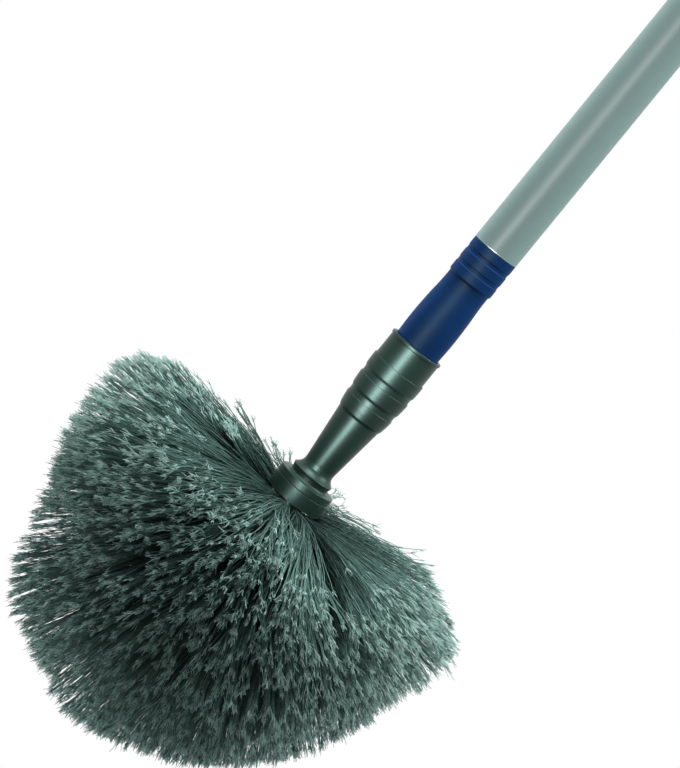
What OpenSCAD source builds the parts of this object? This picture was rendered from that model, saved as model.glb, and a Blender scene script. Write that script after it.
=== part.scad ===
// Cobweb brush on a two-section telescopic pole, hanging head down.
// The pole's axis is Z and the origin is the middle of the hang hole.

/* [Pole] */
// Outer diameter of the inner tube
tube_d = 25; // [22:0.5:32]
// Wall of both tubes
tube_wall = 1; // [0.8:0.1:1.6]
// Gap between the inner tube and the bore of the outer tube
tube_play = 1; // [0.9:0.1:1.6]
// Length of the inner tube
inner_len = 560; // [460:10:800]
// Length of the outer tube
outer_len = 560; // [480:10:800]
// Bare inner tube between the lock and the tip, as the pole hangs
bare_len = 260; // [200:10:340]

/* [Pole tip] */
// Length of the taper that the head is pushed on
seat_len = 42; // [32:1:48]
// How much smaller in radius the taper is at its end
seat_drop = 2.8; // [2:0.1:3.6]
// How far the tip's body stands out past the tube
tip_bulge = 0.38; // [0.1:0.01:0.8]
// How far the tip's waist lies inside the tube's surface
waist_drop = 0.72; // [0.4:0.02:1.5]
// Length of the tip's smooth body, from the socket to its ribs
tip_body_len = 40.8; // [32:0.4:60]
// Number of ribs under the tube
rib_count = 3; // [2:1:5]
// Length of one rib
rib_len = 5.5; // [4:0.1:8]
// Width of the groove between two ribs
rib_gap = 1.8; // [1:0.1:3]
// Depth of that groove
rib_depth = 0.3; // [0.2:0.05:0.8]
// Length of the plug inside the tube
plug_len = 30; // [20:1:45]
// Wall of the hollow tip
tip_wall = 3; // [2:0.1:3.6]

/* [Socket] */
// Diameter of the flange and of the block's collar
flange_d = 31.2; // [29:0.2:34]
// Height of the flange
flange_h = 4; // [3.2:0.1:7]
// Diameter of the rim above the flange
rim_d = 23.1; // [22.5:0.1:26]
// Height of that rim over the flange
rim_h = 4.2; // [3.2:0.1:6]
// Diameter of the waist between the flange and the rim
waist_d = 21.6; // [19.6:0.2:22]
// Smallest diameter of the neck
neck_d = 17.2; // [16:0.2:20]
// Length of the neck's plain taper
neck_len = 30; // [20:0.5:45]
// Number of bands round the socket
band_count = 3; // [2:1:4]
// Length of one band
band_len = 7.4; // [5:0.1:9]
// Distance from band to band
band_pitch = 11.5; // [10.5:0.1:15]
// Height of a band over the waists beside it
band_rise = 0.65; // [0.3:0.05:1]
// How much the first band's edge is drawn in, in radius
shoulder_drop = 2.1; // [1.2:0.1:2.6]
// Length of the plain collar below the lip
collar_len = 12.8; // [8:0.2:20]
// Wall of the socket at its mouth
socket_wall = 1.55; // [1.3:0.05:2.5]
// Diameter of the bore that the screw goes through
neck_bore_d = 10; // [9.6:0.2:11]

/* [Brush block] */
// Diameter of the ball that holds the tufts
ball_d = 35; // [35:0.5:44]
// Height of the block's collar
collar_h = 7.5; // [4.5:0.1:9]
// Diameter of the stem inside the ball
stem_d = 15; // [12:0.5:18]
// Diameter of the screw that holds the block
screw_d = 4; // [3:0.5:5]
// Length of that screw under its head
screw_len = 30; // [22:1:34]

/* [Bristles] */
// Reach from the ball's middle to the tips at the front
reach_front = 146; // [110:1:180]
// Reach from the ball's middle to the tips at the side
reach_side = 109; // [90:1:140]
// Reach from the ball's middle to the tips of the back row
reach_back = 101; // [80:1:120]
// How much shorter each lower layer of tips is, as a share
layer_step = 0.07; // [0:0.01:0.12]
// How far the bristles bow towards the pole
bow = 3; // [0:0.5:6]
// How much longer one side of the dome is halfway down, as a share
side_lean = 0.045; // [0:0.005:0.06]
// Radius of a strand at its root
strand_root_r = 0.75; // [0.5:0.05:0.8]
// Radius of a strand at its split tip
strand_tip_r = 3; // [1:0.1:3.4]

/* [Twist lock] */
// Diameter of the lock nut
nut_d = 39; // [38:0.5:46]
// Length of the threaded neck
thread_len = 17; // [14:0.5:24]
// Height of the collar that the nut closes on
stop_h = 5; // [3:0.5:8]
// Length of the sleeve over the outer tube
skirt_len = 36; // [28:1:50]
// Wall of that sleeve
skirt_wall = 2.4; // [2:0.1:3]
// How much wider the wedge seat is at its mouth, in radius
wedge_rise = 1.5; // [1:0.1:1.8]
// Height of the wedge ring's flange
wedge_flange_h = 3; // [2:0.1:5]
// Number of slots in the wedge ring
slot_count = 6; // [4:1:8]
// Number of flutes round the nut
flute_count = 16; // [10:1:20]
// Height of the nut's end wall
nut_end_h = 5.5; // [4:0.5:9]
// Diameter of the sleeve's rivets
rivet_d = 3.2; // [2.4:0.2:4]

/* [Grip and cap] */
// Length of the grip
grip_len = 150; // [100:5:220]
// Wall of the grip
grip_wall = 2.6; // [2:0.1:4]
// Number of grooves round the grip
groove_count = 13; // [8:1:14]
// Diameter of the hang hole
hang_d = 9; // [6:0.5:12]
// Thickness of the hanging tab
tab_t = 12; // [8:0.5:16]
// Width of the hanging tab
tab_w = 22; // [20:0.5:26]
// Height from the cap's seat to the hang hole
cap_h = 20; // [16:0.5:30]
// Depth of the cap's plug in the outer tube
cap_plug_len = 25; // [15:1:40]

/* [Guide bush] */
// Length of the bush that runs in the outer tube
bush_len = 14; // [10:1:24]
// Length of its plug in the inner tube
bush_plug_len = 22; // [16:1:35]
// Wall of the bush
bush_wall = 3; // [2:0.1:4]

/* [Clearances] */
// Radial gap of pieces that slide or seat in each other
fit = 0.1; // [0.05:0.01:0.1]
// Gap between parts that move past each other
body_gap = 0.3; // [0.25:0.05:0.4]
// Radial gap of pieces fixed in or on each other
seat_gap = 0.05; // [0.02:0.01:0.1]

/* [Hidden] */

painted = [0.52, 0.62, 0.61];
blue = [0.08, 0.22, 0.45];
dark = [0.3, 0.4, 0.37];
steel = [0.72, 0.73, 0.74];
nylon = [0.88, 0.88, 0.85];
fibre = [0.36, 0.47, 0.44];
turn_fn = 60;
small_fn = 32;

// Radii of the pole
tube_r = tube_d / 2;
tube_bore_r = tube_r - tube_wall;
outer_bore_r = tube_r + tube_play;
outer_r = outer_bore_r + tube_wall;

// Radii and places of the lock
thread_r = outer_r + 1.9;
stop_r = nut_d / 2 - 0.5;
skirt_r = outer_r + skirt_wall;
head_seat_x = skirt_r - 0.45 * skirt_wall;
bush_rivet_d = 3;
slot_w = 1.6;
wedge_top = -4;
function wedge_seat_r(z) = outer_bore_r
    + wedge_rise * (wedge_top - z) / (wedge_top + thread_len);

// Heights of the lock, counted from the outer tube's lower end
nut_top = -2 * body_gap;
wedge_play = 2 * body_gap;
wedge_flange_top = -thread_len - wedge_play;
nut_seat = wedge_flange_top - wedge_flange_h - fit;
nut_bottom = nut_seat - nut_end_h;

// Heights of the whole, counted from the hang hole
tube_top = -cap_h;
tube_end = tube_top - outer_len;
rivet_z = tube_end + 0.6 * skirt_len;
tip_z = tube_end + nut_bottom - bare_len;
ribs_len = rib_count * rib_len + (rib_count - 1) * rib_gap;

// Heights of the socket, counted from the top of its flange
edge_r = 0.4;
swell_at = 0.27;
waist_at = 0.96;
tip_steps = 18;
top_rise = 0.6;
flare_h = 4.3;
neck_z = rim_h + flare_h + 1.5;
band_z = neck_z + neck_len + 1.4;
bands_end = band_z + (band_count - 1) * band_pitch + band_len;
lip_h = 1.4;
lip_rise = 0.5;
socket_len = bands_end + collar_len + lip_h;
mouth_r = tube_r + 0.1;
collar_r = mouth_r + fit + socket_wall;
floor_z = neck_z - 3;
washer_h = 1;
spigot_h = 2;
head_z = tip_z - ribs_len - tip_body_len - socket_len;

spigot_r = flange_d / 4;

// The ball passes through the edge of the block's collar
ball_r = ball_d / 2;
ball_cut = sqrt(ball_r * ball_r - flange_d * flange_d / 4);
ball_z = -flange_h - collar_h - ball_cut;
cut_angle = 90 + asin(ball_cut / ball_r);
slice_angles = [cut_angle, 100, 84, 68, 51, 0];
stem_end = ball_z - ball_r * cos(slice_angles[4]) + seat_gap;

// Each ring of tufts: root angle, angles of its tips, tufts, strands in a tuft
rings = [
    [0.5 * (cut_angle + 100), 102, 92, 15, 5],
    [92, 92, 77, 18, 5],
    [76, 77, 62, 18, 5],
    [59.5, 62, 47, 16, 5],
    [42, 47, 31, 13, 5],
    [24.5, 31, 15, 8, 5],
    [8.5, 12, 8, 8, 1],
    [0.5, 1, 0, 1, 1],
];
tuft_pattern = [[0, 0], [-1, -1], [1, 1], [-1, 1], [1, -1]];
tuft_spread = 0.58;
tuft_root = 1.05;
root_sink = 0.6;
tip_power = 2.3;
strand_sides = 3;

function arc(cr, cz, r, from, to, steps = 6) =
    [for (i = [0:steps]) let (a = from + (to - from) * i / steps)
        [cr + r * cos(a), cz + r * sin(a)]];

module turned(outline) {
    rotate_extrude($fn = turn_fn) polygon(outline);
}

module pipe(outer, inner, from, to) {
    turned([[inner, from], [outer, from], [outer, to], [inner, to]]);
}

// Grip and cap

module end_cap() {
    cap_r = outer_r + grip_wall;
    rim_h = 5;
    dome_h = cap_h - 8;
    color(blue) difference() {
        union() {
            translate([0, 0, tube_top]) turned(concat(
                [[0, -cap_plug_len], [outer_bore_r - seat_gap - 1, -cap_plug_len],
                [outer_bore_r - seat_gap, 1 - cap_plug_len], [outer_bore_r - seat_gap, 0],
                [cap_r, 0], [cap_r, rim_h]],
                [for (a = [15:15:90]) [tab_w / 4 + (cap_r - tab_w / 4) * cos(a),
                    rim_h + (dome_h - rim_h) * sin(a)]],
                [[0, dome_h]]));
            rotate([90, 0, 0])
                cylinder(d = tab_w, h = tab_t, center = true, $fn = turn_fn);
            translate([-tab_w / 2, -tab_t / 2, tube_top + rim_h])
                cube([tab_w, tab_t, cap_h - rim_h]);
        }
        rotate([90, 0, 0])
            cylinder(d = hang_d, h = tab_t + 2, center = true, $fn = turn_fn);
        translate([0, 0, tube_top - cap_plug_len - 1])
            cylinder(r = outer_bore_r - bush_wall, h = cap_plug_len, $fn = turn_fn);
    }
}

module grip_sleeve() {
    bore = outer_r + seat_gap;
    body = outer_r + grip_wall;
    groove = 0.35 * grip_wall;
    plain_end = 15;
    pitch = (grip_len - 2 * plain_end) / groove_count;
    color(dark) translate([0, 0, tube_top - grip_len]) turned(concat(
        [[bore, 0]],
        arc(body + 0.2, 1.2, 1.2, -90, 0),
        [[body + 1.4, 4]],
        arc(body + 1.4, 7.5, 3.5, -90, -180, 4),
        [for (i = [0:groove_count - 1], p = [[0, 0], [groove, groove],
            [groove, 0.4 * pitch], [0, 0.4 * pitch + groove]])
            [body - p[0], plain_end + i * pitch + p[1]]],
        arc(body - 0.8, grip_len - 1, 0.8, 0, 90, 4),
        [[body - 0.8, grip_len - seat_gap], [bore, grip_len - seat_gap]]));
}

module outer_tube() {
    color(painted) difference() {
        pipe(outer_r, outer_bore_r, tube_end, tube_top);
        rivet_holes();
    }
}

module rivet_holes() {
    for (side = [0, 180]) rotate([0, 90, side])
        translate([-rivet_z, 0, tube_r])
            cylinder(d = rivet_d + 2 * seat_gap, h = flange_d, $fn = small_fn);
}

// Twist lock

module lock_base() {
    color(blue) difference() {
        translate([0, 0, tube_end]) turned(concat(
            [[wedge_seat_r(-thread_len), -thread_len], [thread_r - 1, -thread_len],
            [thread_r, 1 - thread_len], [thread_r, 0], [stop_r - 0.8, 0]],
            arc(stop_r - 0.8, 0.8, 0.8, -90, 0, 3),
            arc(stop_r - 1.2, stop_h - 1.2, 1.2, 0, 90, 3),
            [[skirt_r + 0.8, stop_h], [skirt_r, stop_h + 1.5]],
            arc(skirt_r - 1.2, skirt_len - 1.2, 1.2, 0, 90, 4),
            [[outer_r + seat_gap, skirt_len], [outer_r + seat_gap, 0],
            [outer_bore_r, 0], [outer_bore_r, wedge_top]]));
        rivet_holes();
        for (side = [0, 180]) rotate([0, 90, side])
            translate([-rivet_z, 0, head_seat_x])
                cylinder(d = 2 * rivet_d + body_gap, h = flange_d, $fn = small_fn);
    }
}

module base_rivets() {
    head_h = skirt_r - head_seat_x;
    inner_x = tube_r + body_gap;
    color(steel) for (side = [0, 180]) rotate([0, 90, side])
        translate([-rivet_z, 0, 0]) rotate_extrude($fn = small_fn)
            polygon(concat(
                [[0, inner_x], [0.65 * rivet_d, inner_x],
                [0.65 * rivet_d, outer_bore_r - body_gap],
                [rivet_d / 2, outer_bore_r - body_gap], [rivet_d / 2, head_seat_x],
                [rivet_d, head_seat_x]],
                [for (a = [0:18:90]) [rivet_d * cos(a),
                    head_seat_x + 0.3 * head_h + 0.9 * head_h * sin(a)]]));
}

module wedge_ring() {
    low = wedge_flange_top - wedge_flange_h;
    thin_end = wedge_top - 2 * body_gap;
    color(nylon) translate([0, 0, tube_end]) difference() {
        turned([[tube_r + fit, low], [thread_r - 0.5, low],
            [thread_r - 0.5, wedge_flange_top],
            [wedge_seat_r(wedge_flange_top) - fit, wedge_flange_top],
            [wedge_seat_r(thin_end) - fit, thin_end], [tube_r + fit, thin_end]]);
        for (i = [0:slot_count - 1]) rotate(i * 360 / slot_count)
            translate([0, -slot_w / 2, i == 0 ? low - 1 : wedge_flange_top + 1.5])
                cube([thread_r, slot_w, thread_len + wedge_flange_h + 2]);
    }
}

module lock_nut() {
    outer = nut_d / 2;
    round_r = 2;
    flute_r = 2.4;
    color(blue) translate([0, 0, tube_end]) difference() {
        turned(concat(
            [[tube_r + 2 * body_gap + 0.6, nut_bottom]],
            arc(outer - round_r - 1.5, nut_bottom + round_r, round_r, -90, -20, 4),
            [[outer, nut_bottom + 2 * round_r + 2]],
            arc(outer - 1, nut_top - 1, 1, 0, 90, 4),
            [[thread_r + body_gap, nut_top], [thread_r + body_gap, nut_seat],
            [tube_r + 2 * body_gap, nut_seat],
            [tube_r + 2 * body_gap, nut_bottom + 0.6]]));
        for (i = [0:flute_count - 1]) rotate(i * 360 / flute_count)
            translate([outer + flute_r - 0.8, 0, nut_bottom - 1])
                cylinder(r = flute_r, h = nut_top - nut_bottom - 3, $fn = small_fn);
    }
}

// Inner pole

module inner_tube() {
    color(painted) difference() {
        pipe(tube_r, tube_bore_r, tip_z, tip_z + inner_len);
        bush_rivet_hole();
    }
}

module bush_rivet_hole() {
    translate([0, 0, tip_z + inner_len - bush_plug_len / 2]) rotate([90, 0, 0])
        cylinder(d = bush_rivet_d + 2 * seat_gap, h = 2 * tube_d, center = true,
            $fn = small_fn);
}

module guide_bush() {
    plug_r = tube_bore_r - seat_gap;
    run_r = outer_bore_r - fit;
    bore_r = plug_r - bush_wall;
    color(nylon) difference() {
        translate([0, 0, tip_z + inner_len]) turned([[bore_r, -bush_plug_len],
            [plug_r - 0.8, -bush_plug_len], [plug_r, 0.8 - bush_plug_len], [plug_r, 0],
            [run_r - 0.6, 0], [run_r, 0.6], [run_r, bush_len - 0.6],
            [run_r - 0.6, bush_len], [bore_r, bush_len]]);
        bush_rivet_hole();
        for (a = [45:90:315]) rotate(a)
            translate([run_r + 0.4, 0, tip_z + inner_len + 1])
                cylinder(r = 1.4, h = bush_len, $fn = small_fn);
    }
}

module bush_rivet() {
    half = tube_r + seat_gap;
    head = [1.5 * bush_rivet_d / 2, 0.4];
    color(steel) translate([0, 0, tip_z + inner_len - bush_plug_len / 2])
        rotate([90, 0, 0]) rotate_extrude($fn = small_fn)
            polygon([[0, -half - head[1]], [head[0], -half - head[1]], [head[0], -half],
                [bush_rivet_d / 2, -half], [bush_rivet_d / 2, half], [head[0], half],
                [head[0], half + head[1]], [0, half + head[1]]]);
}

// The tip swells over its mouth and draws in under the ribs
function swell(u) = u < swell_at ? sin(90 * u / swell_at)
    : cos(180 * min(1, (u - swell_at) / (waist_at - swell_at)));

module pole_tip() {
    body = [for (i = [1:tip_steps]) let (u = 0.985 * i / tip_steps, s = swell(u))
        [tube_r + (s > 0 ? tip_bulge : waist_drop) * s, u * tip_body_len]];
    step = rib_len + rib_gap;
    plug_r = tube_bore_r - seat_gap;
    top = tip_body_len + ribs_len + plug_len;
    hollow = min(mouth_r - seat_drop, plug_r) - tip_wall;
    color(blue) translate([0, 0, head_z + socket_len]) turned(concat(
        [[0, -seat_len], [mouth_r - seat_drop - 1, -seat_len],
        [mouth_r - seat_drop, 1 - seat_len], [mouth_r, 0]], body,
        [for (i = [0:rib_count - 1], p = [[1, 0], [0.25, 0.25], [0, 0.7],
            [0, rib_len - 0.7], [0.25, rib_len - 0.25], [1, rib_len]])
            if (i < rib_count - 1 || p[1] < rib_len)
                [tube_r - rib_depth * p[0], tip_body_len + i * step + p[1]]],
        [[tube_r - rib_depth, tip_body_len + ribs_len - seat_gap],
        [plug_r, tip_body_len + ribs_len - seat_gap], [plug_r, top - 1.5],
        [plug_r - 1, top], [hollow, top], [hollow, tip_wall - seat_len],
        [0, tip_wall - seat_len]]));
}

// Head

// The bands stand on a curve that is drawn in towards the neck
function band_r(z) = collar_r + band_rise
    - shoulder_drop * pow(max(0, (bands_end - z) / (bands_end - band_z)), 2);

// The ledge over a band grows from the neck to the collar
function waist_over(i) = band_r(band_z + i * band_pitch + band_len)
    - band_rise * (0.55 + 0.45 * i / (band_count - 1));

module socket() {
    flange_r = flange_d / 2;
    rim_r = rim_d / 2;
    waist_r = waist_d / 2;
    neck_r = neck_d / 2;
    shoulder_r = band_r(band_z) - 0.85;
    seat_end = socket_len - seat_len - 1;
    mouth = mouth_r + fit;
    seat_r = mouth - seat_drop * (seat_len + 1) / seat_len;
    hole_r = screw_d / 2 + fit;
    color(dark) translate([0, 0, head_z]) turned(concat(
        [[hole_r, -flange_h - spigot_h], [spigot_r, -flange_h - spigot_h],
        [spigot_r, -flange_h], [flange_r - 0.3, -flange_h],
        [flange_r, 0.3 - flange_h]],
        arc(flange_r - edge_r, -edge_r, edge_r, 0, 90, 4),
        [[waist_r + 1.8, 0.5 * top_rise], [waist_r + 1.6, top_rise],
        [waist_r + 0.3, top_rise], [waist_r, top_rise + 0.3],
        [waist_r + 0.35 * (rim_r - waist_r), 0.6 * rim_h],
        [rim_r - 0.15, 0.9 * rim_h], [rim_r, rim_h - 0.15]],
        [for (u = [0.03, 0.1, 0.2, 0.32, 0.46, 0.62, 0.8, 1])
            [neck_r + (rim_r - neck_r) * pow(1 - u, 2), rim_h + flare_h * u]],
        [[neck_r, neck_z]],
        [for (i = [0:band_count - 1]) let (from = band_z + i * band_pitch,
            to = from + band_len, low = i > 0 ? waist_over(i - 1) : shoulder_r) each [
            [low, from - 1.6],
            for (p = [[0.16, 0.25], [0.5, 0.5], [0.84, 0.75], [1, 1]])
                [low + (band_r(from) - low) * p[0], from - 1.6 + 2.2 * p[1]],
            [band_r(from + band_len / 2) + 0.05, from + band_len / 2],
            [band_r(to) + 0.05, to - 0.12], [band_r(to) - 0.05, to],
            [waist_over(i), to + 0.05]]],
        [[collar_r, bands_end + collar_len - 0.4], [collar_r + lip_rise, bands_end + collar_len]],
        arc(collar_r + lip_rise - 0.4, socket_len - 0.4, 0.4, 0, 90, 4),
        [[mouth + 0.5, socket_len], [mouth, socket_len - 0.5],
        [seat_r, seat_end], [neck_bore_d / 2, seat_end],
        [neck_bore_d / 2, floor_z], [hole_r, floor_z]]));
}

module screw_washer() {
    color(steel) translate([0, 0, head_z])
        pipe(neck_bore_d / 2 - body_gap, screw_d / 2 + fit, floor_z, floor_z + washer_h);
}

module block_screw() {
    seat = floor_z + washer_h;
    head_r = screw_d;
    color(steel) translate([0, 0, head_z]) difference() {
        turned(concat([[0, seat - screw_len], [screw_d / 2 - 1, seat - screw_len],
            [screw_d / 2, seat - screw_len + 2], [screw_d / 2, seat], [head_r, seat]],
            [for (a = [0:18:90]) [head_r * cos(a), seat + 0.5 + 0.6 * screw_d * sin(a)]]));
        for (a = [0, 90]) rotate(a)
            translate([-0.6 * screw_d, -0.6, seat + 1.2]) cube([1.2 * screw_d, 1.2, screw_d]);
    }
}

module brush_block() {
    collar = flange_d / 2;
    bottom = -flange_h - collar_h;
    hole_r = screw_d / 2 + seat_gap;
    color(dark) translate([0, 0, head_z]) turned([[0, stem_end],
        [stem_d / 2, stem_end], [stem_d / 2, bottom], [collar, bottom],
        [collar, -flange_h - 0.3], [collar - 0.3, -flange_h],
        [spigot_r + fit, -flange_h], [spigot_r + fit, -flange_h - spigot_h - fit],
        [hole_r, -flange_h - spigot_h - fit],
        [hole_r, floor_z + washer_h - screw_len - 1],
        [0, floor_z + washer_h - screw_len - 1]]);
}

// Bristles

function unit(v) = v / norm(v);
function toward(angle, round) =
    [sin(angle) * cos(round), sin(angle) * sin(round), -cos(angle)];
function reach(angle, round) = angle < 90
    ? (reach_side + (reach_front - reach_side) * pow(cos(angle), tip_power))
        * (1 - side_lean * cos(round) * sin(3 * min(angle, 60)))
    : reach_side - (reach_side - reach_back) * (angle - 90) / 12;

// One strand from root to tip, with a slight bow at its middle
module strand(root, tip, round) {
    along = unit(tip - root);
    across = [-sin(round), cos(round), 0];
    up = cross(along, across);
    middle = (root + tip) / 2 + [0, 0, bow];
    centres = [root, middle, tip];
    radii = [strand_root_r, (strand_root_r + strand_tip_r) / 2, strand_tip_r];
    n = strand_sides;
    points = [for (k = [0:2], j = [0:n - 1]) let (a = 90 + j * 360 / n)
        centres[k] + radii[k] * (cos(a) * across + sin(a) * up)];
    sides = [for (k = [0:1], j = [0:n - 1]) let (b = k * n, next = (j + 1) % n)
        each [[b + j, b + n + j, b + n + next], [b + j, b + n + next, b + next]]];
    polyhedron(points, concat(sides, [[0, 1, 2], [2 * n + 2, 2 * n + 1, 2 * n]]));
}

// All strands of one ring of tufts, each tuft opening from a small square
module ring_of_tufts(ring) {
    root_angle = ring[0];
    tip_middle = (ring[1] + ring[2]) / 2;
    tip_half = (ring[1] - ring[2]) / 2 * tuft_spread;
    root_step = tuft_root / ball_r * 180 / PI;
    turn_step = 360 / ring[3];
    for (i = [0:ring[3] - 1], j = [0:ring[4] - 1]) {
        place = tuft_pattern[j];
        layer = (i + 2 * j) % 3;
        tuft_turn = (i + (ring[3] % 2) / 2) * turn_step + root_angle;
        tip_angle = tip_middle - place[0] * tip_half;
        tip_turn = tuft_turn + place[1] * tuft_spread / 2 * turn_step;
        root_at = root_angle - place[0] * root_step;
        root_turn = tuft_turn + place[1] * root_step / sin(root_angle);
        strand((ball_r - root_sink) * toward(root_at, root_turn),
            reach(tip_angle, tip_turn) * (1 - layer * layer_step)
                * toward(tip_angle, tip_turn),
            tuft_turn);
    }
}

// A slice of the ball between two levels, with its bore for the stem
module ball_slice(first) {
    from = slice_angles[first];
    to = slice_angles[first + 1];
    low = -ball_r * cos(to);
    high = -ball_r * cos(from) - seat_gap;
    top_angle = acos(-high / ball_r);
    bore = stem_d / 2 + seat_gap;
    edge = [for (i = [0:6]) let (a = to + (top_angle - to) * i / 6)
        [ball_r * sin(a), -ball_r * cos(a)]];
    if (first < len(slice_angles) - 2)
        turned(concat([[bore, low]], edge, [[bore, high]]));
    else turned(concat(edge, [[0, high]]));
}

module bristle_slice(first, ring_count = 1) {
    color(fibre) translate([0, 0, head_z + ball_z]) union() {
        ball_slice(first);
        for (k = [0:ring_count - 1]) ring_of_tufts(rings[first + k]);
    }
}

end_cap();
grip_sleeve();
outer_tube();
lock_base();
base_rivets();
wedge_ring();
lock_nut();
inner_tube();
guide_bush();
bush_rivet();
pole_tip();
socket();
block_screw();
screw_washer();
brush_block();
bristle_slice(0);  // bristle_row_1
bristle_slice(1);  // bristle_row_2
bristle_slice(2);  // bristle_row_3
bristle_slice(3);  // bristle_row_4
bristle_slice(4, 4);  // bristle_front
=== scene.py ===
# Cobweb brush on a telescopic pole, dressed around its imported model.
import bpy
import math
import numpy as np
from mathutils import Matrix, Vector


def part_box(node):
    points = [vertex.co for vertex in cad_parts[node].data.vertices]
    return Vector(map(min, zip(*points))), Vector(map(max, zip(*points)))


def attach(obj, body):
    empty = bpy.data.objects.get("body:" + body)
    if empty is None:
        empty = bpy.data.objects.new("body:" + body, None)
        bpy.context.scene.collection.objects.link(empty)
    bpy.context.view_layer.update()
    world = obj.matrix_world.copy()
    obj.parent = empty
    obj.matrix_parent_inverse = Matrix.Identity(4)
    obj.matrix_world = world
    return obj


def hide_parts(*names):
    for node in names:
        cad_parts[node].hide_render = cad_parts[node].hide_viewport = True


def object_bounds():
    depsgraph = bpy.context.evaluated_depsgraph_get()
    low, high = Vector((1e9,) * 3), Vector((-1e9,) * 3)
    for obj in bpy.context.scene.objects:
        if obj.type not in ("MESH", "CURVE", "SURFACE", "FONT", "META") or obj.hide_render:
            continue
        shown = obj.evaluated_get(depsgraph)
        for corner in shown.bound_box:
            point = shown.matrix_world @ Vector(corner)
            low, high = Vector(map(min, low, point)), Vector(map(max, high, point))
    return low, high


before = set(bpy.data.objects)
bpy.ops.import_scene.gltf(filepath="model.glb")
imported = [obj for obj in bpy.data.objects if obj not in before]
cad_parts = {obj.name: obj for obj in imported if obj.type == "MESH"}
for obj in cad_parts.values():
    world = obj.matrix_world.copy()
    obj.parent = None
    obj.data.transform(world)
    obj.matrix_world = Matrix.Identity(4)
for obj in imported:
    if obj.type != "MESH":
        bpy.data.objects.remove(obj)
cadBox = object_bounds()
scene = bpy.context.scene
print("frame loaded:", len(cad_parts), "nodes")

# Places on the pole's axis, in metres, from the socket's lower end in the frame
spigotHeight = 0.002
flangeHeight = 0.004
ballDrop = 0.01943
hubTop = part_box("socket")[0][2] + spigotHeight + flangeHeight   # top of the socket's flange
ballCentre = Vector((0.0, 0.0, hubTop - ballDrop))              # of the ball with the tufts


# Camera

photo = {
    "width": 680,
    "height": 768,
    "hub": (308.1, 480.9),        # where the hub's top meets the axis
    "poleAngle": 39.15,           # the pole's lean from upright in the picture, degrees
    "millimetrePerPixel": 0.495,
    "elevation": 7.5,             # how far the camera looks down on the hub, degrees
    "distance": 1.5,
    "sensor": 36,
    "clip": (0.05, 30),           # nearest and farthest that the camera sees
}


def setCamera():
    # Sets the camera and gives its target and its ways to the right, up and forward
    lean = math.radians(photo["poleAngle"])
    tilt = math.radians(photo["elevation"])
    side = Vector((1, 0, 0))
    along = Vector((0, math.sin(tilt), math.cos(tilt)))          # the pole's way, as the camera sees it
    forward = Vector((0, math.cos(tilt), -math.sin(tilt)))
    up = along * math.cos(lean) - side * math.sin(lean)
    right = along * math.sin(lean) + side * math.cos(lean)
    scale = photo["millimetrePerPixel"] / 1000
    dx = (photo["width"] / 2 - photo["hub"][0]) * scale
    dy = (photo["hub"][1] - photo["height"] / 2) * scale
    target = Vector((0, 0, hubTop)) + right * dx + up * dy
    data = bpy.data.cameras.new("camera")
    data.sensor_fit = "VERTICAL"
    data.sensor_height = photo["sensor"]
    data.lens = photo["sensor"] * photo["distance"] / (photo["height"] * scale)
    data.clip_start, data.clip_end = photo["clip"]
    camera = bpy.data.objects.new("camera", data)
    scene.collection.objects.link(camera)
    turn = Matrix((right, up, -forward)).transposed()
    camera.matrix_world = Matrix.Translation(target - forward * photo["distance"]) @ turn.to_4x4()
    scene.camera = camera
    return target, right, up, forward


target, cameraRight, cameraUp, cameraForward = setCamera()
print("camera set")


# Node helpers

def newNode(tree, kind, **values):
    node = tree.nodes.new(kind)
    for name, value in values.items():
        setattr(node, name, value)
    return node


def mathNode(tree, operation, a, b=None, c=None, clamp=False):
    node = newNode(tree, "ShaderNodeMath", operation=operation, use_clamp=clamp)
    for socket, value in zip(node.inputs, (a, b, c)):
        if value is None:
            continue
        if isinstance(value, (int, float)):
            socket.default_value = value
        else:
            tree.links.new(value, socket)
    return node.outputs[0]


def rampNode(tree, source, stops):
    node = newNode(tree, "ShaderNodeValToRGB")
    ramp = node.color_ramp
    while len(ramp.elements) < len(stops):
        ramp.elements.new(0.5)
    for element, (place, colour) in zip(ramp.elements, stops):
        element.position = place
        element.color = (*colour, 1)
    tree.links.new(source, node.inputs[0])
    return node.outputs[0]


def mixColour(tree, factor, a, b, blend="MIX"):
    # A Mix node for colours has them in inputs 6 and 7 and the result in output 2
    node = newNode(tree, "ShaderNodeMix", data_type="RGBA", blend_type=blend)
    for socket, value in ((node.inputs[0], factor), (node.inputs[6], a), (node.inputs[7], b)):
        if isinstance(value, (int, float)):
            socket.default_value = value
        elif isinstance(value, tuple):
            socket.default_value = (*value, 1)
        else:
            tree.links.new(value, socket)
    return node.outputs[2]


def fromSrgb(*colour):
    # Linear values of a colour written as sRGB, 0 to 255
    return tuple(((c / 255 + 0.055) / 1.055) ** 2.4 if c > 10 else c / 255 / 12.92 for c in colour)


def newGroup(name, inputs, outputs):
    group = bpy.data.node_groups.new(name, "ShaderNodeTree")
    for label, kind, value in inputs:
        socket = group.interface.new_socket(name=label, in_out="INPUT", socket_type=kind)
        socket.default_value = value
    for label, kind in outputs:
        group.interface.new_socket(name=label, in_out="OUTPUT", socket_type=kind)
    start = group.nodes.new("NodeGroupInput")
    end = group.nodes.new("NodeGroupOutput")
    return group, start, end


def placeGroup(tree, group, **values):
    node = newNode(tree, "ShaderNodeGroup")
    node.node_tree = group
    for name, value in values.items():
        socket = node.inputs[name]
        if isinstance(value, (int, float)):
            socket.default_value = value
        else:
            tree.links.new(value, socket)
    return node


# Shared effects

grainSpec = {"coarseDetail": 4.0, "fineDetail": 2.0, "fineShare": 0.6}


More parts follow.
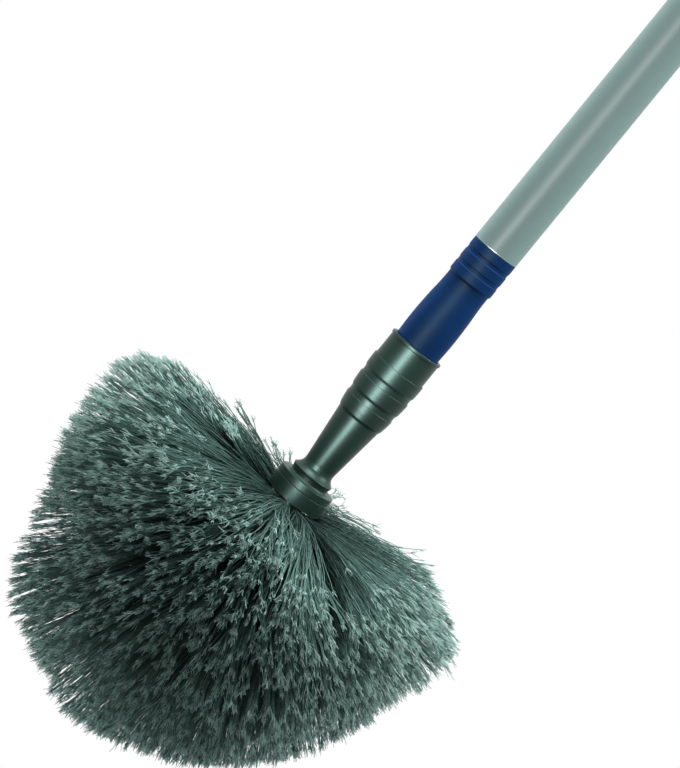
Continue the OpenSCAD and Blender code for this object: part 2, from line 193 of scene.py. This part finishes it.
def makeGrain():
    # Slow blotches and fine grain, for colour, roughness and bump
    group, start, end = newGroup("surfaceGrain",
        [("Coarse Scale", "NodeSocketFloat", 20.0), ("Fine Scale", "NodeSocketFloat", 400.0)],
        [("Blotches", "NodeSocketFloat"), ("Fine", "NodeSocketFloat"), ("Height", "NodeSocketFloat")])
    place = newNode(group, "ShaderNodeTexCoord").outputs["Object"]
    coarse = newNode(group, "ShaderNodeTexNoise")
    fine = newNode(group, "ShaderNodeTexNoise")
    for node, socket, detail in ((coarse, "Coarse Scale", grainSpec["coarseDetail"]),
            (fine, "Fine Scale", grainSpec["fineDetail"])):
        node.inputs["Detail"].default_value = detail
        group.links.new(place, node.inputs["Vector"])
        group.links.new(start.outputs[socket], node.inputs["Scale"])
    group.links.new(coarse.outputs["Fac"], end.inputs["Blotches"])
    group.links.new(fine.outputs["Fac"], end.inputs["Fine"])
    height = mathNode(group, "MULTIPLY_ADD", fine.outputs["Fac"], grainSpec["fineShare"],
        coarse.outputs["Fac"])
    group.links.new(height, end.inputs["Height"])
    return group


wearSpec = {"samples": 4, "detail": 4.0, "gain": 9.0}


def makeEdgeWear():
    # 1 along worn outer edges, 0 on plain faces, broken up by noise
    group, start, end = newGroup("edgeWear",
        [("Radius", "NodeSocketFloat", 0.001), ("Amount", "NodeSocketFloat", 1.0),
         ("Break Scale", "NodeSocketFloat", 150.0)],
        [("Mask", "NodeSocketFloat")])
    bevel = newNode(group, "ShaderNodeBevel", samples=wearSpec["samples"])
    group.links.new(start.outputs["Radius"], bevel.inputs["Radius"])
    shape = newNode(group, "ShaderNodeNewGeometry")
    dot = newNode(group, "ShaderNodeVectorMath", operation="DOT_PRODUCT")
    group.links.new(bevel.outputs["Normal"], dot.inputs[0])
    group.links.new(shape.outputs["Normal"], dot.inputs[1])
    away = mathNode(group, "SUBTRACT", 1.0, dot.outputs["Value"])
    place = newNode(group, "ShaderNodeTexCoord").outputs["Object"]
    noise = newNode(group, "ShaderNodeTexNoise")
    noise.inputs["Detail"].default_value = wearSpec["detail"]
    group.links.new(place, noise.inputs["Vector"])
    group.links.new(start.outputs["Break Scale"], noise.inputs["Scale"])
    raised = mathNode(group, "MULTIPLY", away, wearSpec["gain"])
    broken = mathNode(group, "MULTIPLY", raised, noise.outputs["Fac"])
    scaled = mathNode(group, "MULTIPLY", broken, start.outputs["Amount"], clamp=True)
    group.links.new(scaled, end.inputs["Mask"])
    return group


scratchSpec = {"detail": 5.0, "roughness": 0.7, "gain": 14.0}


def makeScratches():
    # Fine scratches and handling marks, stretched along or round the pole
    group, start, end = newGroup("fineScratches",
        [("Scale", "NodeSocketFloat", 60.0), ("Length", "NodeSocketFloat", 0.08),
         ("Threshold", "NodeSocketFloat", 0.66)],
        [("Mask", "NodeSocketFloat")])
    place = newNode(group, "ShaderNodeTexCoord").outputs["Object"]
    squeeze = newNode(group, "ShaderNodeCombineXYZ")
    squeeze.inputs[0].default_value = 1.0
    squeeze.inputs[1].default_value = 1.0
    group.links.new(start.outputs["Length"], squeeze.inputs[2])
    stretched = newNode(group, "ShaderNodeVectorMath", operation="MULTIPLY")
    group.links.new(place, stretched.inputs[0])
    group.links.new(squeeze.outputs[0], stretched.inputs[1])
    noise = newNode(group, "ShaderNodeTexNoise")
    noise.inputs["Detail"].default_value = scratchSpec["detail"]
    noise.inputs["Roughness"].default_value = scratchSpec["roughness"]
    group.links.new(stretched.outputs[0], noise.inputs["Vector"])
    group.links.new(start.outputs["Scale"], noise.inputs["Scale"])
    over = mathNode(group, "SUBTRACT", noise.outputs["Fac"], start.outputs["Threshold"])
    mask = mathNode(group, "MULTIPLY", over, scratchSpec["gain"], clamp=True)
    group.links.new(mask, end.inputs["Mask"])
    return group


grain = makeGrain()
edgeWear = makeEdgeWear()
scratches = makeScratches()
print("shared effects made")


# Materials

def newMaterial(name):
    material = bpy.data.materials.new(name)
    material.use_nodes = True
    tree = material.node_tree
    shader = tree.nodes["Principled BSDF"]
    return material, tree, shader


def addBump(tree, shader, height, strength, distance):
    bump = newNode(tree, "ShaderNodeBump")
    bump.inputs["Strength"].default_value = strength
    bump.inputs["Distance"].default_value = distance
    tree.links.new(height, bump.inputs["Height"])
    tree.links.new(bump.outputs["Normal"], shader.inputs["Normal"])


def linkRange(tree, source, low, high, socket):
    node = newNode(tree, "ShaderNodeMapRange")
    node.inputs["To Min"].default_value = low
    node.inputs["To Max"].default_value = high
    tree.links.new(source, node.inputs["Value"])
    tree.links.new(node.outputs["Result"], socket)


def layGrain(tree, scales):
    return placeGroup(tree, grain, **{"Coarse Scale": scales[0], "Fine Scale": scales[1]})


mouldedPlastic = {
    "darkPlastic": {
        "base": (20, 39, 32), "light": (25, 46, 38), "worn": (96, 118, 110),
        "roughness": (0.32, 0.4), "specular": 0.3, "tint": (0.62, 1.0, 0.9),
        "wear": 0.2, "marks": 0.3},
    "bluePlastic": {
        "base": (14, 52, 102), "light": (20, 60, 112), "worn": (56, 102, 152),
        "roughness": (0.42, 0.52), "specular": 0.05, "tint": (0.6, 0.9, 1.0),
        "wear": 0.2, "marks": 0.2},
    "gripRubber": {
        "base": (50, 66, 60), "light": (60, 78, 71), "worn": (98, 116, 108),
        "roughness": (0.62, 0.78), "specular": 0.2, "tint": (0.8, 1.0, 0.95),
        "wear": 0.25, "marks": 0.15},
    "nylon": {
        "base": (206, 205, 196), "light": (222, 221, 214), "worn": (238, 238, 232),
        "roughness": (0.42, 0.55), "specular": 0.3, "tint": (1.0, 1.0, 1.0),
        "wear": 0.2, "marks": 0.2},
}
# What all moulded pieces share; bump is its strength and its depth in metres
mouldedFinish = {
    "grain": (38.0, 900.0),
    "wearRadius": 0.0009,
    "scratches": {"Scale": 420.0, "Length": 0.25, "Threshold": 0.69},
    "bump": (0.12, 0.0002),
}


def makePlastic(name):
    spec = mouldedPlastic[name]
    material, tree, shader = newMaterial(name)
    marks = layGrain(tree, mouldedFinish["grain"])
    wear = placeGroup(tree, edgeWear, Radius=mouldedFinish["wearRadius"], Amount=spec["wear"])
    lines = placeGroup(tree, scratches, **mouldedFinish["scratches"])
    body = mixColour(tree, marks.outputs["Blotches"], fromSrgb(*spec["base"]),
        fromSrgb(*spec["light"]))
    scuffed = mathNode(tree, "MULTIPLY", lines.outputs["Mask"], spec["marks"])
    worn = mathNode(tree, "MAXIMUM", wear.outputs["Mask"], scuffed)
    colour = mixColour(tree, worn, body, fromSrgb(*spec["worn"]))
    tree.links.new(colour, shader.inputs["Base Color"])
    linkRange(tree, marks.outputs["Height"], *spec["roughness"], shader.inputs["Roughness"])
    shader.inputs["Specular IOR Level"].default_value = spec["specular"]
    shader.inputs["Specular Tint"].default_value = (*spec["tint"], 1)
    addBump(tree, shader, marks.outputs["Height"], *mouldedFinish["bump"])
    return material


paintSpec = {
    "base": (143, 172, 169),
    "light": (150, 178, 175),
    "worn": (176, 192, 189),
    "metal": (196, 200, 202),
    "roughness": (0.36, 0.46),
    "specular": 0.12,
    "grain": (14.0, 700.0),
    "wear": {"Radius": 0.0007, "Amount": 0.6},
    "bareShare": 0.8,             # how far a worn edge turns to bare metal
    "scratches": {"Scale": 500.0, "Length": 0.03, "Threshold": 0.66},
    "scratchShare": 0.22,
    "bump": (0.1, 0.0002),
}


def makePaint():
    material, tree, shader = newMaterial("paintedTube")
    marks = layGrain(tree, paintSpec["grain"])
    wear = placeGroup(tree, edgeWear, **paintSpec["wear"])
    lines = placeGroup(tree, scratches, **paintSpec["scratches"])
    body = mixColour(tree, marks.outputs["Blotches"], fromSrgb(*paintSpec["base"]),
        fromSrgb(*paintSpec["light"]))
    faint = mathNode(tree, "MULTIPLY", lines.outputs["Mask"], paintSpec["scratchShare"])
    lined = mixColour(tree, faint, body, fromSrgb(*paintSpec["worn"]))
    bare = mathNode(tree, "MULTIPLY", wear.outputs["Mask"], paintSpec["bareShare"])
    colour = mixColour(tree, bare, lined, fromSrgb(*paintSpec["metal"]))
    tree.links.new(colour, shader.inputs["Base Color"])
    tree.links.new(bare, shader.inputs["Metallic"])
    linkRange(tree, marks.outputs["Height"], *paintSpec["roughness"], shader.inputs["Roughness"])
    shader.inputs["Specular IOR Level"].default_value = paintSpec["specular"]
    addBump(tree, shader, marks.outputs["Height"], *paintSpec["bump"])
    return material


steelSpec = {
    "base": (176, 180, 182),
    "light": (200, 203, 205),
    "line": (120, 124, 126),
    "roughness": (0.25, 0.45),
    "grain": (120.0, 1500.0),
    "scratches": {"Scale": 900.0, "Length": 0.2, "Threshold": 0.6},
    "scratchShare": 0.3,
    "bump": (0.1, 0.0001),
}


def makeSteel():
    material, tree, shader = newMaterial("steel")
    marks = layGrain(tree, steelSpec["grain"])
    lines = placeGroup(tree, scratches, **steelSpec["scratches"])
    body = mixColour(tree, marks.outputs["Blotches"], fromSrgb(*steelSpec["base"]),
        fromSrgb(*steelSpec["light"]))
    faint = mathNode(tree, "MULTIPLY", lines.outputs["Mask"], steelSpec["scratchShare"])
    colour = mixColour(tree, faint, body, fromSrgb(*steelSpec["line"]))
    tree.links.new(colour, shader.inputs["Base Color"])
    shader.inputs["Metallic"].default_value = 1.0
    linkRange(tree, marks.outputs["Fine"], *steelSpec["roughness"], shader.inputs["Roughness"])
    addBump(tree, shader, marks.outputs["Height"], *steelSpec["bump"])
    return material


fibreSpec = {
    # the dark root colour is painted shade where the tufts stand close at the ball; stem and tip are
    # the fibre's own colours
    "root": (18, 32, 28),
    "stem": (104, 137, 129),
    "tip": (166, 198, 190),
    "stops": (0.2, 0.56, 0.82, 0.93),     # of root, half way, stem and tip along a strand
    "darkest": (0.62, 0.66, 0.65),        # times the colour, on the darkest strands
    "palest": (1.12, 1.12, 1.12),         # times the colour, where the grain is palest
    "grain": (60.0, 2500.0),
    "roughness": (0.45, 0.65),
    "specular": 0.05,
}


def makeFibre():
    # Painted shade, dark at the root and fading along the stem; palest where the tip is split
    material, tree, shader = newMaterial("bristleFibre")
    share = newNode(tree, "ShaderNodeAttribute", attribute_name="tipShare").outputs["Fac"]
    tone = newNode(tree, "ShaderNodeAttribute", attribute_name="strandTone").outputs["Fac"]
    root, stem, tip = (fibreSpec[name] for name in ("root", "stem", "tip"))
    rootShadeHalfWay = [0.5 * (a + b) for a, b in zip(root, stem)]
    along = rampNode(tree, share, [(stop, fromSrgb(*colour))
        for stop, colour in zip(fibreSpec["stops"], (root, rootShadeHalfWay, stem, tip))])
    dark = mixColour(tree, 1.0, along, fibreSpec["darkest"], blend="MULTIPLY")
    toned = mixColour(tree, tone, dark, along)
    marks = layGrain(tree, fibreSpec["grain"])
    pale = mixColour(tree, 1.0, toned, fibreSpec["palest"], blend="MULTIPLY")
    colour = mixColour(tree, marks.outputs["Fine"], toned, pale)
    tree.links.new(colour, shader.inputs["Base Color"])
    linkRange(tree, marks.outputs["Blotches"], *fibreSpec["roughness"],
        shader.inputs["Roughness"])
    shader.inputs["Specular IOR Level"].default_value = fibreSpec["specular"]
    return material


materials = {name: makePlastic(name) for name in mouldedPlastic}
materials["paintedTube"] = makePaint()
materials["steel"] = makeSteel()
materials["bristleFibre"] = makeFibre()
print("materials made")

nodeFinish = {
    "end_cap": "bluePlastic", "grip_sleeve": "gripRubber", "outer_tube": "paintedTube",
    "lock_base": "bluePlastic", "base_rivets": "steel", "wedge_ring": "nylon",
    "lock_nut": "bluePlastic", "inner_tube": "paintedTube", "guide_bush": "nylon",
    "bush_rivet": "steel", "pole_tip": "bluePlastic", "socket": "darkPlastic",
    "block_screw": "steel", "screw_washer": "steel", "brush_block": "darkPlastic",
}


def dressNodes():
    for name, finish in nodeFinish.items():
        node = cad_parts[name]
        node.data.materials.clear()
        node.data.materials.append(materials[finish])
    print("CAD pieces dressed:", len(nodeFinish))


dressNodes()


# Bristles

dome = {
    "ballRadius": 0.0175,
    # Reach from the ball's middle to the tips, in millimetres:
    # angle from the front in degrees, left side, right side
    "reach": [
        (0, 149, 149), (6, 154, 146), (12, 154, 143), (18, 150, 138), (24, 149, 134),
        (30, 147, 132), (36, 143, 128), (42, 137, 126), (48, 130, 123), (54, 125, 120),
        (60, 120, 118), (66, 118, 115), (90, 115, 112), (96, 113, 100), (102, 98, 84),
        (108, 58, 82), (114, 53, 50), (120, 48, 54),
    ],
    # Rings of tufts, in degrees: angle of the roots, angles of the tips, tufts or their turns,
    # strands in a tuft. "low" replaces the one below, "drop" lowers the tips in front and behind,
    # "pale" is the share of the stem's colours that the root skips, which leaves the outer rows,
    # where the light reaches, with less of the painted root shade
    "rings": [
        {"root": 108.5, "tips": (104, 91), "tufts": 15, "strands": 112, "node": "bristle_row_1",
         "steps": 10, "low": (0.4, 0.16), "drop": 8, "pale": 0.5},
        {"root": 92, "tips": (92, 77), "tufts": 18, "strands": 104, "node": "bristle_row_2",
         "steps": 10, "drop": 4, "pale": 0.25},
        {"root": 76, "tips": (77, 62), "tufts": 18, "strands": 125, "node": "bristle_row_3"},
        {"root": 59.5, "tips": (62, 47), "tufts": 16, "strands": 140, "node": "bristle_row_4"},
        {"root": 42, "tips": (47, 31), "tufts": 13, "strands": 170, "node": "bristle_front"},
        {"root": 24.5, "tips": (31, 15), "tufts": 8, "strands": 180, "node": "bristle_front",
         "piece": "apex"},
        {"root": 7, "tips": (15, 2), "tufts": 4, "strands": 140, "node": "bristle_front",
         "piece": "apex"},
        # single strands that stand off at the right, and a bunch that leans back at the left
        {"root": 108, "tips": (104, 84), "turns": (-8, 8), "spread": 26, "strands": 18,
         "reachTimes": 1.05, "node": "bristle_row_1", "low": (0, 0), "clumpWidth": 0.4},
        {"root": 109, "tips": (109, 104), "turns": (196, 208), "spread": 8, "strands": 26,
         "node": "bristle_row_1", "low": (0, 0), "clumpWidth": 0.2},
    ],
    "tuftRadius": 0.0021,         # of the hole that a tuft stands in
    "rootSink": 0.0006,           # how deep the roots stand in the ball
    "rootPlace": (0.6, 0.35),     # in the hole: share of the clump's place, and chance
    "clumps": 56,                 # in a tuft
    "clumpSteps": (0.7548777, 0.5698403),     # these spread the clumps evenly
    "clumpSpan": 1.05,            # how far they reach, of half a tuft's span
    "clumpWidth": 0.04,           # of half a tuft's span
    "low": (0.26, 0.08),          # share of clumps that end lower, and lowest
    "reachFull": (0.985, 1.0),    # shares of the full reach
    "reachLow": (0.86, 0.98),
    "reachLowest": (0.62, 0.86),
    "reachTuft": (0.978, 1.012),
    "uneven": 0.008,              # share by which single strands end short
    "tone": (0.55, 0.16),         # middle and spread, 0 darkest
    "bow": (0.0016, 0.0008),      # of a clump, and of a strand in it
    "lean": 2.2,                  # degrees that a tuft stands out of its place
    "fanPower": 1.5,              # 1 spreads a tuft evenly from its root, more keeps it narrow first
    "stemRadius": (0.00019, 0.00022),
    "stemSteps": 7,
    "stemShare": 0.86,            # of the material's way from root to tip
    "crimp": 0.00025,
    "crimpFrom": 0.1,             # share of the strand that stays without it
    "splits": 5,
    "splitRadius": (0.00018, 0.00014),
    "splitLength": (0.003, 0.0068),
    "splitTimes": (0.7, 1.05),    # of one strand's split tips among themselves
    "splitBack": 0.0025,          # how far back on the stem they may start
    "splitSpread": 0.19,
    "seed": 41,
}


def reachAt(angle, turn):
    # The dome's reach in metres; turn 0 is the right side and 180 the left
    table = np.array(dome["reach"])
    left = np.interp(angle, table[:, 0], table[:, 1])
    right = np.interp(angle, table[:, 0], table[:, 2])
    toLeft = 0.5 - 0.5 * np.cos(np.radians(turn))
    return (left * toLeft + right * (1 - toLeft)) / 1000


def toward(angle, turn):
    # Way from the ball's middle; angle 0 is straight down the pole
    angle, turn = np.broadcast_arrays(np.radians(angle), np.radians(turn))
    return np.stack([np.sin(angle) * np.cos(turn), np.sin(angle) * np.sin(turn),
        -np.cos(angle)], axis=-1)


def tubeMesh(paths, radii, shares, tones):
    # Joins three-sided tubes: paths is strands x steps x 3, radii and shares strands x steps
    count, steps, _ = paths.shape
    along = np.gradient(paths, axis=1)
    along /= np.linalg.norm(along, axis=2, keepdims=True)
    helper = np.where(np.abs(along[:, :1, 2:3]) > 0.9, np.array([1.0, 0, 0]), np.array([0, 0, 1.0]))
    across = np.cross(along, np.broadcast_to(helper, along.shape))
    across /= np.linalg.norm(across, axis=2, keepdims=True)
    lift = np.cross(along, across)
    corners = []
    for k in range(3):
        turn = 2 * math.pi * k / 3
        corners.append(paths + radii[..., None] * (math.cos(turn) * across + math.sin(turn) * lift))
    points = np.stack(corners, axis=2).reshape(-1, 3)
    base = (np.arange(count) * steps * 3)[:, None, None]
    step = (np.arange(steps - 1) * 3)[None, :, None]
    first = np.arange(3)[None, None, :]
    second = (first + 1) % 3
    a, b = base + step + first, base + step + second
    quads = np.stack([a, b, b + 3, a + 3], axis=-1).reshape(-1, 4)
    ends = np.concatenate([
        np.stack([base[:, 0, 0] + 2, base[:, 0, 0] + 1, base[:, 0, 0]], axis=-1),
        np.stack([base[:, 0, 0] + (steps - 1) * 3 + k for k in range(3)], axis=-1)])
    pointShares = np.repeat(shares.reshape(-1), 3)
    pointTones = np.repeat(tones, steps * 3)
    return points, quads, ends, pointShares, pointTones


def joinTubes(name, parts):
    # One mesh from several sets of tubes, with the two values that the material reads
    allPoints, allLoops, allSizes, allShares, allTones = [], [], [], [], []
    offset = 0
    for points, quads, ends, shares, tones in parts:
        allPoints.append(points)
        allLoops += [(quads + offset).reshape(-1), (ends + offset).reshape(-1)]
        allSizes += [np.full(len(quads), 4), np.full(len(ends), 3)]
        allShares.append(shares)
        allTones.append(tones)
        offset += len(points)
    points = np.concatenate(allPoints)
    loops = np.concatenate(allLoops).astype(np.int32)
    sizes = np.concatenate(allSizes).astype(np.int32)
    starts = np.concatenate([[0], np.cumsum(sizes)[:-1]]).astype(np.int32)
    mesh = bpy.data.meshes.new(name)
    mesh.vertices.add(len(points))
    mesh.vertices.foreach_set("co", points.astype(np.float32).reshape(-1))
    mesh.loops.add(len(loops))
    mesh.loops.foreach_set("vertex_index", loops)
    mesh.polygons.add(len(sizes))
    mesh.polygons.foreach_set("loop_start", starts)
    mesh.polygons.foreach_set("use_smooth", np.ones(len(sizes), dtype=bool))
    for label, values in (("tipShare", allShares), ("strandTone", allTones)):
        layer = mesh.attributes.new(label, "FLOAT", "POINT")
        layer.data.foreach_set("value", np.concatenate(values).astype(np.float32))
    mesh.update(calc_edges=True)
    mesh.validate()
    piece = bpy.data.objects.new(name, mesh)
    scene.collection.objects.link(piece)
    return piece


def growRing(ring, draw):
    # Stems and split tips of one ring of tufts
    tuftStep = 360 / ring.get("tufts", 1)
    turns = ring.get("turns") or [(i + 0.5 * (ring["tufts"] % 2)) * tuftStep + ring["root"]
        for i in range(ring["tufts"])]
    tuft = np.repeat(np.arange(len(turns)), ring["strands"])
    count = len(tuft)
    groups = len(turns) * dome["clumps"]
    clump = draw.integers(0, dome["clumps"], count) + tuft * dome["clumps"]
    # each clump has its place in the tuft, at the root as at the tip
    number = np.arange(groups)
    span = dome["clumpSpan"]
    clumpU, clumpV = ((2 * span * ((number * step + draw.random()) % 1) - span)[clump]
        for step in dome["clumpSteps"])
    tipFrom, tipTo = ring["tips"]
    spanAngle, spanTurn = (tipFrom - tipTo) / 2, ring.get("spread", tuftStep / 2)
    width = ring.get("clumpWidth", dome["clumpWidth"])
    # tufts lean a little out of their even places, so that some crowd and some leave a gap
    leanAngle, leanTurn = (draw.normal(0, dome["lean"], len(turns))[tuft] for _ in range(2))
    tipAngle = np.abs((tipFrom + tipTo) / 2 + leanAngle
        - spanAngle * (clumpU + draw.normal(0, width, count)))
    tuftTurn = np.array(turns)[tuft]
    tipTurn = tuftTurn + leanTurn + spanTurn * (clumpV + draw.normal(0, width, count))
    # the photograph shows the outer rows higher at the two sides than in front, and behind,
    # which it doesn't show, is made like the front
    tipAngle -= ring.get("drop", 0) * np.abs(np.sin(np.radians(tipTurn)))
    follow, chance = dome["rootPlace"]
    rootU, rootV = (follow * side + draw.uniform(-chance, chance, count)
        for side in (clumpU, clumpV))
    rootStep = math.degrees(dome["tuftRadius"] / dome["ballRadius"])
    rootTurn = tuftTurn + rootV * rootStep / math.sin(math.radians(ring["root"]))
    root = (dome["ballRadius"] - dome["rootSink"]) * toward(
        ring["root"] - rootU * rootStep, rootTurn)
    # most clumps are trimmed to the dome, some end lower
    lot = draw.random(groups)
    low, lowest = ring.get("low", dome["low"])
    full, lower, shortest = (draw.uniform(*dome[name], groups)
        for name in ("reachFull", "reachLow", "reachLowest"))
    clumpReach = np.where(lot > low, full, np.where(lot > lowest, lower, shortest))[clump]
    tuftReach = draw.uniform(*dome["reachTuft"], len(turns))[tuft]
    reach = reachAt(tipAngle, tipTurn) * tuftReach * clumpReach * ring.get("reachTimes", 1)
    reach *= 1 - np.abs(draw.normal(0, dome["uneven"], count))
    tip = reach[:, None] * toward(tipAngle, tipTurn)
    middleTone, toneSpread = dome["tone"]
    tone = np.clip(draw.normal(middleTone, toneSpread, groups)[clump]
        + draw.normal(0, toneSpread, count), 0, 1)
    # a slight bow of each stem, shared by its clump, and a fine crimp
    clumpBow, strandBow = dome["bow"]
    bow = draw.normal(0, clumpBow, (groups, 3))[clump] + draw.normal(0, strandBow, (count, 3))
    steps = ring.get("steps", dome["stemSteps"])
    share = np.linspace(0, 1, steps + 1)[None, :, None]
    splitLength = draw.uniform(*dome["splitLength"], count)
    stemEnd = 1 - splitLength / np.linalg.norm(tip - root, axis=1)
    reached = share * stemEnd[:, None, None]
    middle = toward((tipFrom + tipTo) / 2, tuftTurn) * reach[:, None]
    path = root[:, None] * (1 - reached) + middle[:, None] * reached
    path += (tip - middle)[:, None] * reached ** dome["fanPower"]
    path += bow[:, None] * 4 * reached * (1 - reached)
    path += draw.normal(0, dome["crimp"], path.shape) * (reached > dome["crimpFrom"])
    rootRadius, endRadius = dome["stemRadius"]
    radii = np.broadcast_to(rootRadius + (endRadius - rootRadius) * share[..., 0],
        (count, steps + 1))
    # the fibre's ramp paints shade at the roots; "pale" starts these lit outer rows further along it
    pale = ring.get("pale", 0)
    stemShare = dome["stemShare"]
    shares = stemShare * (pale + (1 - pale) * reached[..., 0])
    parts = [tubeMesh(path + np.array(ballCentre), radii, shares, tone)]
    # split tips fan out from the stem's end
    heading = path[:, -1] - path[:, -2]
    heading /= np.linalg.norm(heading, axis=1, keepdims=True)
    rise = np.array([0.0, 1.0])[None, :, None]
    thickAtStem, thickAtTip = dome["splitRadius"]
    for _ in range(dome["splits"]):
        length = splitLength * draw.uniform(*dome["splitTimes"], count)
        way = heading + draw.normal(0, dome["splitSpread"], (count, 3))
        fan = path[:, -1:] + way[:, None] * rise * length[:, None, None]
        fan -= heading[:, None] * draw.uniform(0, dome["splitBack"], (count, 1, 1))
        thin = np.broadcast_to(thickAtStem + (thickAtTip - thickAtStem) * rise[..., 0], (count, 2))
        fanShares = np.broadcast_to(stemShare + (1 - stemShare) * rise[..., 0], (count, 2))
        parts.append(tubeMesh(fan + np.array(ballCentre), thin, fanShares, tone))
    return parts


def makeBristles():
    draw = np.random.default_rng(dome["seed"])
    byPiece = {}
    for ring in dome["rings"]:
        key = (ring["node"], ring.get("piece"))
        byPiece.setdefault(key, []).extend(growRing(ring, draw))
    for (node, part), parts in byPiece.items():
        name = node.replace("bristle", "bristles") + ("_" + part if part else "")
        piece = joinTubes(name, parts)
        piece.data.materials.append(materials["bristleFibre"])
        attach(piece, "head")
        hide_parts(node)
        piece.data.calc_loop_triangles()
        print("bristles grown:", name, len(piece.data.loop_triangles), "triangles")


makeBristles()


# Studio

lamps = {
    # "from" is where the lamp stands from the brush: right, up and towards the camera.
    # The back lamp has no gloss, which would draw a pale line on the socket's edge
    "key": {"from": (0.45, 0.85, 0.3), "distance": 4.0, "sides": (2.0, 2.0), "power": 285},
    "right": {"from": (0.93, 0.06, 0.15), "distance": 3.0, "sides": (1.4, 1.4), "power": 72},
    "back": {"from": (-0.7, 0.4, -0.6), "distance": 3.0, "sides": (1.6, 1.6), "power": 64,
             "noGloss": True},
    # a tall soft box for the stripe on the pole and the socket, its long side along the pole
    "strip": {"from": (-0.32, -0.08, 0.93), "distance": 3.0, "sides": (0.96, 2.4), "power": 400,
              "glossOnly": True},
}


# Strength of the white world: as light on the brush, and as what the camera and gloss see
worldSpec = {"light": 0.1, "background": 1.0}


def setStudio():
    world = bpy.data.worlds.new("studio")
    scene.world = world
    world.use_nodes = True
    tree = world.node_tree
    background = tree.nodes["Background"]
    path = newNode(tree, "ShaderNodeLightPath")
    seen = mathNode(tree, "MAXIMUM", path.outputs["Is Camera Ray"], path.outputs["Is Glossy Ray"])
    strength = newNode(tree, "ShaderNodeMapRange")
    strength.inputs["To Min"].default_value = worldSpec["light"]
    strength.inputs["To Max"].default_value = worldSpec["background"]
    tree.links.new(seen, strength.inputs["Value"])
    tree.links.new(strength.outputs["Result"], background.inputs["Strength"])
    background.inputs["Color"].default_value = (1, 1, 1, 1)
    for name, spec in lamps.items():
        side, rise, near = spec["from"]
        way = (cameraRight * side + cameraUp * rise - cameraForward * near).normalized()
        data = bpy.data.lights.new(name, "AREA")
        data.shape = "RECTANGLE"
        data.size, data.size_y = spec["sides"]
        data.energy = spec["power"]
        lamp = bpy.data.objects.new(name, data)
        scene.collection.objects.link(lamp)
        lamp.visible_diffuse = not spec.get("glossOnly", False)
        lamp.visible_glossy = not spec.get("noGloss", False)
        across = Vector((0, 0, 1)).cross(way).normalized()
        turn = Matrix((across, way.cross(across), way)).transposed()
        lamp.matrix_world = (Matrix.Translation(target + way * spec["distance"])
            @ turn.to_4x4())
    print("lamps set:", len(lamps))


floorSpec = {
    "radius": 0.7,
    "drop": 0.5,                  # below the hanging brush
    "colour": (196, 198, 197),
    "shade": 0.96,                # times the colour, where the blotches are darkest
    "roughness": 0.85,
    "grain": (3.0, 120.0),
    "corners": 128,
}


def makeFloor():
    low = cadBox[0][2] - floorSpec["drop"]
    count = floorSpec["corners"]
    ring = [(floorSpec["radius"] * math.cos(2 * math.pi * i / count),
        floorSpec["radius"] * math.sin(2 * math.pi * i / count), low) for i in range(count)]
    mesh = bpy.data.meshes.new("floor")
    mesh.from_pydata(ring, [], [tuple(range(count))])
    floor = bpy.data.objects.new("floor", mesh)
    scene.collection.objects.link(floor)
    material, tree, shader = newMaterial("paleFloor")
    marks = layGrain(tree, floorSpec["grain"])
    pale = fromSrgb(*floorSpec["colour"])
    shaded = tuple(floorSpec["shade"] * c for c in pale)
    colour = mixColour(tree, marks.outputs["Blotches"], shaded, pale)
    tree.links.new(colour, shader.inputs["Base Color"])
    shader.inputs["Roughness"].default_value = floorSpec["roughness"]
    mesh.materials.append(material)
    print("floor laid")


setStudio()
makeFloor()
scene.view_settings.view_transform = "Standard"
